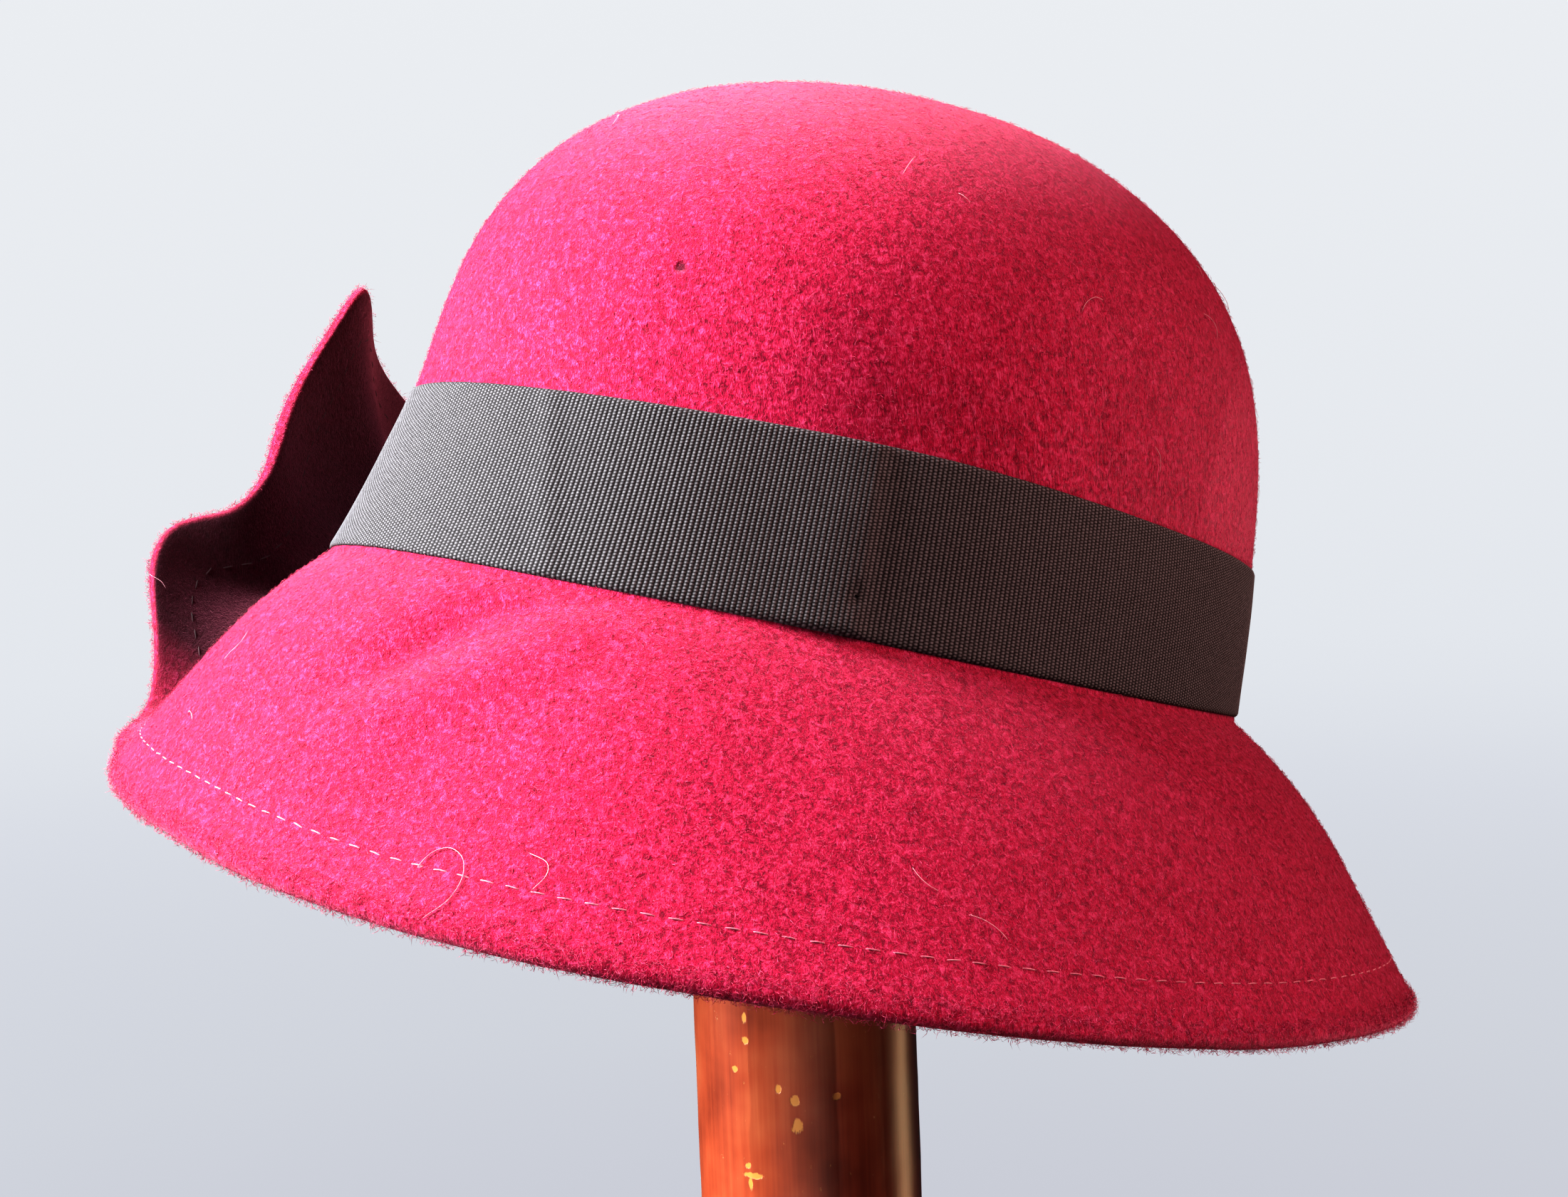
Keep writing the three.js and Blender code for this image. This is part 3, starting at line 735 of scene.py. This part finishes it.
band = to_hat([v.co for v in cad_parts["ribbon_band"].data.vertices])
band_turn = turns(band)
edges = []
for low_edge in (True, False):
    chosen = band[:, 2] < FOOT_BELOW if low_edge else band[:, 2] > HEAD_ABOVE
    order = np.argsort(band_turn[chosen])
    edges.append((band_turn[chosen][order], band[chosen][order][:, 2]))
coarse = np.arange(0, 360, 0.5)
middle = np.array([on_crown(a, RIBBON_WIDTH / 2)[0] for a in coarse])
steps = np.linalg.norm(np.roll(middle, -1, 0) - middle, axis=1)
walked = np.concatenate([[0], np.cumsum(steps)])
ribs = round(walked[-1] / RIB_PITCH)
columns = ribs * COLUMNS_A_RIB
along = np.arange(columns) * walked[-1] / columns
azimuths = np.interp(along, walked, np.append(coarse, 360))
blur = np.ones(SMOOTH_OVER) / SMOOTH_OVER
foot, head = (
    np.convolve(
        np.pad(np.interp(azimuths, *edge, period=360), SMOOTH_OVER // 2, "wrap"), blur, "valid"
    )
    for edge in edges
)
# rows across the ribbon, as shares of its width: closer where each edge rolls over
selvedge = np.array([0, 0.3, 0.9, 1.8]) * MM / RIBBON_WIDTH
face_rows = np.concatenate([selvedge, np.linspace(0.09, 0.91, FACE_ROWS), 1 - selvedge[::-1]])
back_rows = np.linspace(1, 0, BACK_ROWS)
cord = np.abs(np.sin(np.pi * np.arange(columns) / COLUMNS_A_RIB)) ** CORD_ROUND
lap_from = np.interp(LAP_AT, np.append(coarse, 360), walked)


def ribbon_rise(column, height):
    """How far the ribbon's face stands up from its flat weave at a place on it."""
    past = along[column] - lap_from - LAP_LEAN * height
    lap = LAP_RISE * math.exp(-((past / (LAP_BEFORE if past < 0 else LAP_BEYOND)) ** 2))
    k = (height - CREASE_FOOT[1]) / (CREASE_TOP[1] - CREASE_FOOT[1])
    off = azimuths[column] - CREASE_FOOT[0] - k * (CREASE_TOP[0] - CREASE_FOOT[0])
    crease = CREASE_RISE * math.exp(-((off / CREASE_WIDE) ** 2))
    aside = math.radians(azimuths[column] - TACK[0]) * TACK_FROM_AXIS
    tack = math.exp(-(aside**2 + (height - TACK[1]) ** 2) / TACK_REACH**2)
    return (lap + crease) * (1 - tack) - TACK_SINK * tack


points, faces, spots_uv = [], [], []
for column in range(columns):
    span = head[column] - foot[column]
    for k in face_rows:
        height = foot[column] + k * span
        spot, normal = on_crown(azimuths[column], height)
        edge_ease = min(1, math.sqrt(max(0, min(k, 1 - k)) * RIBBON_WIDTH / EDGE_EASE))
        lift = RIBBON_THICK + RIB_HEIGHT * cord[column] + ribbon_rise(column, height)
        points.append(spot + normal * (RIBBON_INSIDE + lift * edge_ease))
        spots_uv.append((along[column], k * RIBBON_WIDTH))
    for k in back_rows[1:-1]:
        spot, normal = on_crown(azimuths[column], foot[column] + k * span)
        points.append(spot + normal * RIBBON_INSIDE)
        spots_uv.append((along[column], k * RIBBON_WIDTH))
rows_round = len(face_rows) + len(back_rows) - 2
corner_uv = []
for column in range(columns):
    following = (column + 1) % columns
    for k in range(rows_round):
        k2 = (k + 1) % rows_round
        quad = (
            column * rows_round + k, following * rows_round + k,
            following * rows_round + k2, column * rows_round + k2,
        )
        faces.append(quad)
        wrap = walked[-1] if following == 0 else 0
        corner_uv += [
            spots_uv[quad[0]], (spots_uv[quad[1]][0] + wrap, spots_uv[quad[1]][1]),
            (spots_uv[quad[2]][0] + wrap, spots_uv[quad[2]][1]), spots_uv[quad[3]],
        ]
# cotton and rayon grosgrain, matt; its colour has a painted highlight on each cord's crest where
# the warp beads it, and painted shade in the gaps between cords, over a random fleck
weave, tree, shader = blank_material(
    "charcoal_grosgrain",
    {"Roughness": 0.7, "Specular IOR Level": 0.15, "Sheen Weight": 0.04, "Sheen Roughness": 0.3},
)
laid = add(tree, "UVMap", uv_map="weave").outputs["UV"]
axes = add(tree, "SeparateXYZ", links={"Vector": laid})
rib_count = add(tree, "Math", {1: ribs / walked[-1]}, {0: axes.outputs["X"]}, operation="MULTIPLY")
rib_turn = add(tree, "Math", {1: math.pi}, {0: rib_count.outputs[0]}, operation="MULTIPLY")
rib_wave = add(tree, "Math", links={0: rib_turn.outputs[0]}, operation="SINE")
rib_crest = add(tree, "Math", links={0: rib_wave.outputs[0]}, operation="ABSOLUTE").outputs[0]
rib_number = add(tree, "Math", links={0: rib_count.outputs[0]}, operation="FLOOR").outputs[0]
stagger = add(tree, "Math", {1: 0.5}, {0: rib_number}, operation="MULTIPLY").outputs[0]
loop_count = add(
    tree, "Math", {1: 1 / LOOP_PITCH}, {0: axes.outputs["Y"], 2: stagger},
    operation="MULTIPLY_ADD",
)
loop_turn = add(tree, "Math", {1: math.pi}, {0: loop_count.outputs[0]}, operation="MULTIPLY")
loop_wave = add(tree, "Math", links={0: loop_turn.outputs[0]}, operation="SINE")
loop_crest = add(tree, "Math", links={0: loop_wave.outputs[0]}, operation="ABSOLUTE").outputs[0]
knot_relief_and_light = add(tree, "Math", {}, {0: rib_crest, 1: loop_crest}, operation="MULTIPLY").outputs[0]
fleck = add(
    tree, "TexNoise", {"Scale": 1 / FLECK_SIZE, "Detail": 2},
    {"Vector": add(tree, "TexCoord").outputs["Object"]},
).outputs["Fac"]
tone = add(tree, "Math", {1: FLECK_SHARE}, {0: fleck}, operation="MULTIPLY").outputs[0]
tone = add(tree, "Math", {}, {0: tone, 1: knot_relief_and_light}, operation="ADD").outputs[0]
tone = add(tree, "Math", {1: TONE_SPAN}, {0: tone}, operation="MULTIPLY").outputs[0]
tree.links.new(
    ramp(tree, tone, [(0.25, CORD_GAP_SHADE), (0.5, CORD_MID), (0.85, CORD_CREST_HIGHLIGHT)]),
    shader.inputs["Base Color"],
)
bump = add(tree, "Bump", {"Strength": 0.8, "Distance": 0.12 * MM}, {"Height": knot_relief_and_light})
tree.links.new(bump.outputs["Normal"], shader.inputs["Normal"])
ribbon = mesh_piece("grosgrain_ribbon", points, faces, weave, "ribbon")
uv_layer = ribbon.data.uv_layers.new(name="weave")
uv_layer.data.foreach_set("uv", np.array(corner_uv, np.float32).ravel())
pick_only(ribbon)
bpy.ops.object.mode_set(mode="EDIT")
bpy.ops.mesh.select_all(action="SELECT")
bpy.ops.mesh.normals_make_consistent(inside=False)
bpy.ops.object.mode_set(mode="OBJECT")
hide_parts("ribbon_band")

# ---- Nap --------------------------------------------------------------------------
# The milled surface's loose wool ends: short curved fibres that lie nearly flat, in
# every direction, and stand up a little along the rim. Real ones are about 0.02 mm
# thick, and they are drawn 0.09 mm thick so that they show.

NAP_RADIUS = 0.045 * MM
NAP_SHORT, NAP_LONG = 0.9 * MM, 2.8 * MM
NAP_LIFT = 0.38 * MM
RIM_LIFT = 0.9 * MM
NAP_PALE = "#F87EAC"
NAP_ROSE = "#DA1858"
NAP_DEEP = "#900430"
NAP_ROOT = 0.1 * MM
NAP_ARCH = 0.06 * MM
NAP_BEND = 0.16
# no fibres stand where the fold's painted shade passes this share of its darkest
FOLD_BARE = 0.3
TUFT = 0.6 * MM

felt.data.calc_loop_triangles()
corners = np.empty(len(felt.data.loop_triangles) * 3, np.int32)
felt.data.loop_triangles.foreach_get("vertices", corners)
corners = corners.reshape(-1, 3)
felt_normals = np.array([v.normal for v in felt.data.vertices])
sides = felt_points[corners]
areas = np.linalg.norm(np.cross(sides[:, 1] - sides[:, 0], sides[:, 2] - sides[:, 0]), axis=1) / 2
tri_row = felt_rows[corners].mean(1)


def unit(vectors):
    """Vectors at length one."""
    return vectors / np.linalg.norm(vectors, axis=1, keepdims=True)


def nap(name, count, first_row, last_row, lift, material):
    """Scatters count fibres over the felt between two rows of its shell."""
    weight = areas * (tri_row >= first_row) * (tri_row < last_row)
    chosen = rng.choice(len(areas), count, p=weight / weight.sum())
    k = rng.random((count, 2))
    k[k.sum(1) > 1] = 1 - k[k.sum(1) > 1]
    share = np.column_stack([1 - k.sum(1), k])[:, :, None]
    root = (sides[chosen] * share).sum(1)
    out = unit((felt_normals[corners[chosen]] * share).sum(1))
    upright = to_hat(root)
    azimuth, height = turns(upright), upright[:, 2]
    free = (
        (height < np.interp(azimuth, *edges[0], period=360))
        | (height > np.interp(azimuth, *edges[1], period=360))
        | (tri_row[chosen] > CROWN_ROWS)
    )
    # fibres are left off where the fold's painted shade is
    free &= painted_fold_shade[corners[chosen]].mean(1) < FOLD_BARE * FOLD_SHADE
    root, out = root[free], out[free]
    count = len(root)
    heading = unit(np.cross(out, rng.normal(size=(count, 3))))
    beside = np.cross(out, heading)
    length = NAP_SHORT + (NAP_LONG - NAP_SHORT) * rng.random((count, 1)) ** 2
    rise = lift * rng.random((count, 1)) ** 1.5
    bend = length * rng.normal(0, NAP_BEND, (count, 1))
    # a pointed sliver with three sides: root, one ring where it arches, and a free end
    middle = root + heading * length / 2 + out * (rise + NAP_ARCH) + beside * bend
    end = root + heading * length * 0.95 + out * (rise * rng.normal(0.9, 0.7, (count, 1)))
    root = root - out * NAP_ROOT
    ring = [
        middle + out * NAP_RADIUS,
        middle - out * NAP_RADIUS / 2 + beside * NAP_RADIUS,
        middle - out * NAP_RADIUS / 2 - beside * NAP_RADIUS,
    ]
    places = np.stack([root, *ring, end], 1).reshape(-1, 3)
    pattern = np.array(
        [(0, 2, 1), (0, 3, 2), (0, 1, 3), (4, 1, 2), (4, 2, 3), (4, 3, 1)], np.int64
    )
    tris = (pattern[None] + 5 * np.arange(count)[:, None, None]).reshape(-1, 3)
    mesh = bpy.data.meshes.new(name)
    mesh.vertices.add(len(places))
    mesh.vertices.foreach_set("co", places.astype(np.float32).ravel())
    mesh.loops.add(tris.size)
    mesh.loops.foreach_set("vertex_index", tris.astype(np.int32).ravel())
    mesh.polygons.add(len(tris))
    mesh.polygons.foreach_set("loop_start", np.arange(0, tris.size, 3, dtype=np.int32))
    mesh.update(calc_edges=True)
    # each fibre has a square cell of its own in this UV map, with its six triangles side by side
    cells = math.ceil(math.sqrt(count))
    cell = np.stack([np.arange(count) % cells, np.arange(count) // cells], 1)
    third = np.array([0, 1, 2, 0, 1, 2]) / 3
    within = np.stack([
        np.array([(t + 1 / 6, 0.5 + s), (t + 1 / 6 - a, 0.5), (t + 1 / 6 + a, 0.5)])
        for t, s, a in zip(third, [-0.4] * 3 + [0.4] * 3, [0.14] * 6)
    ])
    laid = (cell[:, None, None, :] + within[None]) / cells
    mesh.uv_layers.new(name="OFBake").data.foreach_set("uv", laid.astype(np.float32).ravel())
    mesh.materials.append(material)
    piece = bpy.data.objects.new(name, mesh)
    bpy.context.scene.collection.objects.link(piece)
    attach(piece, "root")
    return piece


# carded wool ends: matt, with a soft pale bloom, in deep, rosy and pale tufts, with painted shade
# in the fold and to bounced light
wool, tree, shader = blank_material(
    "loose_wool_ends",
    {"Roughness": 0.75, "Specular IOR Level": 0.1, "Sheen Weight": 0.8,
     "Sheen Roughness": 0.45, "Sheen Tint": linear(FELT_SHEEN)},
)
tufts = add(
    tree, "TexNoise", {"Scale": 1 / TUFT, "Detail": 2, "Roughness": 0.6},
    {"Vector": add(tree, "TexCoord").outputs["Object"]},
).outputs["Fac"]
tree.links.new(
    with_painted_shade(tree, ramp(tree, tufts, [(0.36, NAP_DEEP), (0.52, NAP_ROSE), (0.68, NAP_PALE)])),
    shader.inputs["Base Color"],
)
nap("nap_of_crown", 33000, 0, 14.3, NAP_LIFT, wool)
nap("nap_of_brim", 33000, 14, 22, NAP_LIFT, wool)
nap("nap_of_edge", 33000, 21.5, 26.6, RIM_LIFT, wool)
nap("nap_of_underside", 14000, 26.6, 40, NAP_LIFT, wool)

# ---- Tack, loose thread and lint --------------------------------------------------
# A dark cotton tack that holds the ribbon's lap, a loose loop of the pink hem thread at
# the front of the brim, and the odd stray hair of pale wool caught in the nap.

TACK_RADIUS = 0.22 * MM
LOOP_RADIUS = 0.085 * MM
HAIR_RADIUS = 0.05 * MM
HAIR_COUNT = 46
HAIR_LOW, HAIR_HIGH = -48, 112
RIBBON_LOW, RIBBON_HIGH = -6, 42
BRIM_REACH, CROWN_REACH = 150, 90
LOOP_LIFT = 0.35 * MM
HAIR_RISE, HAIR_DROOP, HAIR_LEAST = 0.9 * MM, 2.4 * MM, 0.1 * MM
NO_STRAND_RUNS = Vector((0.31, 0.21, 0.93))
HAIR_PALE = "#FBC4D4"
TACK_BLACK = "#0B0A0B"
# azimuth in degrees, reach and height in the hat's own frame in mm
LOOP_ROUTE = [
    (292.4, 134.9, -50.8), (291.9, 136.2, -50.2), (292.4, 134.6, -47.6), (293.6, 133.8, -46.4),
    (295.0, 134.4, -47.6), (295.7, 136.4, -50.4), (295.5, 138.6, -54.2), (294.4, 140.6, -57.8),
]
# azimuth in degrees, height and length in mm of the hairs that show best
HAIR_SPOTS = [(317.6, 102.0, 7.0), (328.5, -20.9, 6.0), (333.5, -28.2, 8.0), (300.0, -38.0, 7.0)]


def hat_place(azimuth, reach, height):
    """A place given in the upright hat's frame, in degrees and mm, in the row frame."""
    a = math.radians(azimuth)
    return HAT_SEAT + lean @ (Vector((reach * math.cos(a), reach * math.sin(a), height)) * MM)


def strand(route, radius, sides=5):
    """Points and faces of one thin closed strand along a route, pointed at both ends."""
    route = [Vector(p) for p in route]
    points, faces = [route[0]], []
    for before, here, after in zip(route, route[1:], route[2:]):
        run = (after - before).normalized()
        side = run.cross(NO_STRAND_RUNS).normalized()
        for k in range(sides):
            a = 2 * math.pi * k / sides
            points.append(here + (side * math.cos(a) + run.cross(side) * math.sin(a)) * radius)
    points.append(route[-1])
    last = len(points) - 1
    for k in range(sides):
        k2 = (k + 1) % sides
        faces.append((0, 1 + k2, 1 + k))
        faces.append((last, last - sides + k, last - sides + k2))
        for ring in range(len(route) - 3):
            at = 1 + ring * sides
            faces.append((at + k, at + k2, at + sides + k2, at + sides + k))
    return points, faces


def curved(route, steps):
    """A smooth open line through a few points."""
    route = np.array([tuple(p) for p in route])
    ends = np.vstack([2 * route[0] - route[1], route, 2 * route[-1] - route[-2]])
    line = spline(*(ends[k : len(ends) - 3 + k] for k in range(4)), steps)
    return np.vstack([line, route[-1]])


def join_strands(strands):
    """Several strands' points and faces as one mesh's."""
    points, faces = [], []
    for more, their in strands:
        faces += [tuple(len(points) + i for i in face) for face in their]
        points += more
    return points, faces


spot, out = on_crown(TACK[0], TACK[1])
turn = math.radians(TACK[0])
beside = lean @ Vector((-math.sin(turn), math.cos(turn), 0))
tack_line = [
    spot + out * rise * MM + beside * aside * MM
    for aside, rise in ((-0.9, 0.2), (-0.6, 0.75), (0, 0.95), (0.6, 0.75), (0.9, 0.2))
]
# waxed black cotton, matt, a shade darker than the ribbon
black, tree, shader = blank_material("black_cotton_tack", {"Roughness": 0.8})
shader.inputs["Base Color"].default_value = linear(TACK_BLACK)
mesh_piece("ribbon_tack", *strand(curved(tack_line, 3), TACK_RADIUS), black, "ribbon")

loop_line = []
for azimuth, reach, height in LOOP_ROUTE:
    near_felt, out, _, _ = felt_tree.find_nearest(hat_place(azimuth, reach, height))
    loop_line.append(near_felt + out * LOOP_LIFT)
mesh_piece("loose_thread", *strand(curved(loop_line, 6), LOOP_RADIUS), thread, "felt")

hairs = []
for number in range(HAIR_COUNT):
    if number < len(HAIR_SPOTS):
        azimuth, height, length = HAIR_SPOTS[number]
    else:
        azimuth, height = rng.uniform(0, 360), rng.uniform(HAIR_LOW, HAIR_HIGH)
        length = rng.uniform(3, 8)
        if RIBBON_LOW < height < RIBBON_HIGH:
            continue
    reach = BRIM_REACH if height < 0 else CROWN_REACH
    near_felt, out, _, _ = felt_tree.find_nearest(hat_place(azimuth, reach, height))
    heading = out.cross(Vector(rng.normal(size=3))).normalized()
    bow = out.cross(heading) * rng.normal(0, 0.25) * length * MM
    route = []
    for part in (-0.5, -0.2, 0.15, 0.5):
        rise = (HAIR_RISE - HAIR_DROOP * part * part) * rng.uniform(0.5, 1.0)
        aside = bow * (0.25 - part * part) * 4
        at, up_here, _, _ = felt_tree.find_nearest(near_felt + heading * part * length * MM + aside)
        route.append(at + up_here * max(rise, HAIR_LEAST))
    hairs.append(strand(curved(route, 4), HAIR_RADIUS, 4))
# undyed wool hair: pale pink against the felt, with a slight gloss
pale_wool, tree, shader = blank_material("stray_wool_hair", {"Roughness": 0.6})
shader.inputs["Base Color"].default_value = linear(HAIR_PALE)
mesh_piece("stray_hairs", *join_strands(hairs), pale_wool, "felt")

# ---- Floor, light and camera ------------------------------------------------------
# A pale seamless floor that curves up all round, one big soft light as from a window
# on the wearer's right, weak warm fill from the other side, and a little light thrown
# back by the table and by a wall behind.

COVE_RADIUS = 3.2
COVE_HEIGHT = 3.0
COVE_STEPS = 10
SWEEP_REACH = 4.0
EYE_DISTANCE = 0.465
EYE_TURN = math.radians(45)
EYE_ROLL = math.radians(-12)
LENS = 47.43
EYE_SHIFT = (-0.0075, 0.0204)
AIM_ABOVE = 0.03
ROOM_STRENGTH = 0.03
DEEP_SHADOWS = 0.8

eye_turn = lean @ Matrix.Rotation(EYE_TURN, 3, "Z")
forward = eye_turn @ Vector((0, 1, 0))
eye_turn = eye_turn @ Matrix.Rotation(EYE_ROLL, 3, "Y")
right, up = eye_turn @ Vector((1, 0, 0)), eye_turn @ Vector((0, 0, 1))
camera_data = bpy.data.cameras.new("camera")
camera_data.lens = LENS
camera_data.clip_start = 0.02
camera_data.shift_x, camera_data.shift_y = EYE_SHIFT
camera = bpy.data.objects.new("camera", camera_data)
bpy.context.scene.collection.objects.link(camera)
camera.matrix_world = Matrix.Translation(HAT_SEAT - forward * EYE_DISTANCE) @ Matrix(
    (right, up, -forward)
).transposed().to_4x4()
bpy.context.scene.camera = camera

bpy.ops.object.select_all(action="DESELECT")
bpy.ops.mesh.primitive_circle_add(vertices=96, radius=COVE_RADIUS / 2, fill_type="NGON")
floor = bpy.context.active_object
floor.name = floor.data.name = "studio_floor"
bpy.ops.object.mode_set(mode="EDIT")
bpy.ops.mesh.select_all(action="SELECT")
bpy.ops.mesh.select_mode(type="EDGE")
bpy.ops.mesh.region_to_loop()
last_reach, last_height = COVE_RADIUS / 2, 0.0
for step in range(1, COVE_STEPS + 1):
    angle = math.pi / 2 * step / COVE_STEPS
    next_reach = COVE_RADIUS / 2 * (1 + math.sin(angle))
    next_height = COVE_RADIUS / 2 * (1 - math.cos(angle))
    bpy.ops.mesh.extrude_edges_move(
        TRANSFORM_OT_translate={"value": (0, 0, next_height - last_height)}
    )
    grow = next_reach / last_reach
    bpy.ops.transform.resize(value=(grow, grow, 1), center_override=(0, 0, 0))
    last_reach, last_height = next_reach, next_height
bpy.ops.mesh.extrude_edges_move(TRANSFORM_OT_translate={"value": (0, 0, COVE_HEIGHT)})
bpy.ops.object.mode_set(mode="OBJECT")
bpy.ops.object.shade_smooth()
# matt paper sweep whose look is painted light: a near-black base colour and a glow of its own,
# darker near the middle and paler further out, so that it looks pale like a far wall
paper, tree, shader = blank_material(
    "glowing_paper_sweep", {"Roughness": 0.9, "Specular IOR Level": 0.0}
)
place = add(tree, "TexCoord").outputs["Object"]
mottle = add(tree, "TexNoise", {"Scale": 0.8, "Detail": 1}, {"Vector": place}).outputs["Fac"]
pale = ramp(tree, mottle, [(0.35, "#0C0D0F"), (0.65, "#0E0F11")])
tree.links.new(pale, shader.inputs["Base Color"])
away = add(tree, "VectorMath", {}, {0: place}, operation="LENGTH").outputs["Value"]
away = add(tree, "Math", {1: 1 / SWEEP_REACH}, {0: away}, operation="MULTIPLY").outputs[0]
glow = ramp(
    tree, away,
    [(0.04, "#D0D2DB"), (0.12, "#D7DAE1"), (0.3, "#DFE2E9"), (0.5, "#E8EBF0"), (0.9, "#F0F2F5")],
)
tree.links.new(glow, shader.inputs["Emission Color"])
shader.inputs["Emission Strength"].default_value = 1.0
floor.data.materials.append(paper)
floor.visible_diffuse = False
floor.visible_glossy = False


def soft_light(name, side, lift, back, width, height, power, colour):
    """A rectangular area light aimed at the hat, placed along the camera's axes."""
    data = bpy.data.lights.new(name, "AREA")
    data.shape = "RECTANGLE"
    data.size, data.size_y = width, height
    data.energy = power
    data.color = linear(colour)[:3]
    lamp = bpy.data.objects.new(name, data)
    bpy.context.scene.collection.objects.link(lamp)
    lamp.location = HAT_SEAT + right * side + up * lift + forward * back
    aim = HAT_SEAT + Vector((0, 0, AIM_ABOVE)) - lamp.location
    lamp.rotation_mode = "QUATERNION"
    lamp.rotation_quaternion = aim.to_track_quat("-Z", "Y")
    lamp.visible_camera = False
    return lamp


# metres along the camera's right, up and forward, then size in metres, watts and colour
soft_light("window", -1.2, 0.62, -0.16, 0.6, 1.3, 134, "#FFFFFF")
soft_light("right_fill", 1.1, 0.8, -0.4, 0.9, 0.9, 24, "#FFC2B6")
bounce = soft_light("table_bounce", -0.1, -0.75, -0.75, 1.0, 0.5, 20, "#FFE2D8")
bounce.visible_glossy = False
soft_light("wall_glow", 0.8, -0.45, 0.35, 0.3, 0.7, 2.4, "#FFD2A0")
world = bpy.data.worlds.new("dim_room")
bpy.context.scene.world = world
world.use_nodes = True
world.node_tree.nodes["Background"].inputs["Color"].default_value = linear("#DDE4EE")
world.node_tree.nodes["Background"].inputs["Strength"].default_value = ROOM_STRENGTH
bpy.context.scene.view_settings.view_transform = "Standard"
bpy.context.scene.view_settings.gamma = DEEP_SHADOWS
